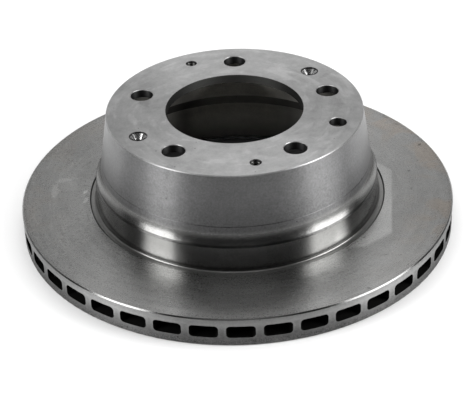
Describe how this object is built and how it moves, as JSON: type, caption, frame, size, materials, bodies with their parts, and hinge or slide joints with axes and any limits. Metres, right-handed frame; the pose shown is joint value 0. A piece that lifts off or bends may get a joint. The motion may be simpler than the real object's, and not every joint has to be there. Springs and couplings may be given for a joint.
{
  "type": "ventilated brake disc with parking brake drum",
  "caption": "Cast iron brake disc with radial air passages between two friction plates, and a tall hat whose inside is a parking brake drum.",
  "frame": {"origin": "centre of the inboard friction face, on the axis of rotation", "axes": "+Z along the axis of rotation, from the inboard friction face to the hat's face that the wheel sits on; +Y through the first wheel bolt hole"},
  "size_m": [0.29, 0.29, 0.083],
  "materials": {
    "cast_iron": "turned and ground on the friction faces, the hat and the drum, and as cast in the air passages"
  },
  "bodies": {
    "root": {"brake_disc": "cast_iron"}
  },
  "joints": []
}
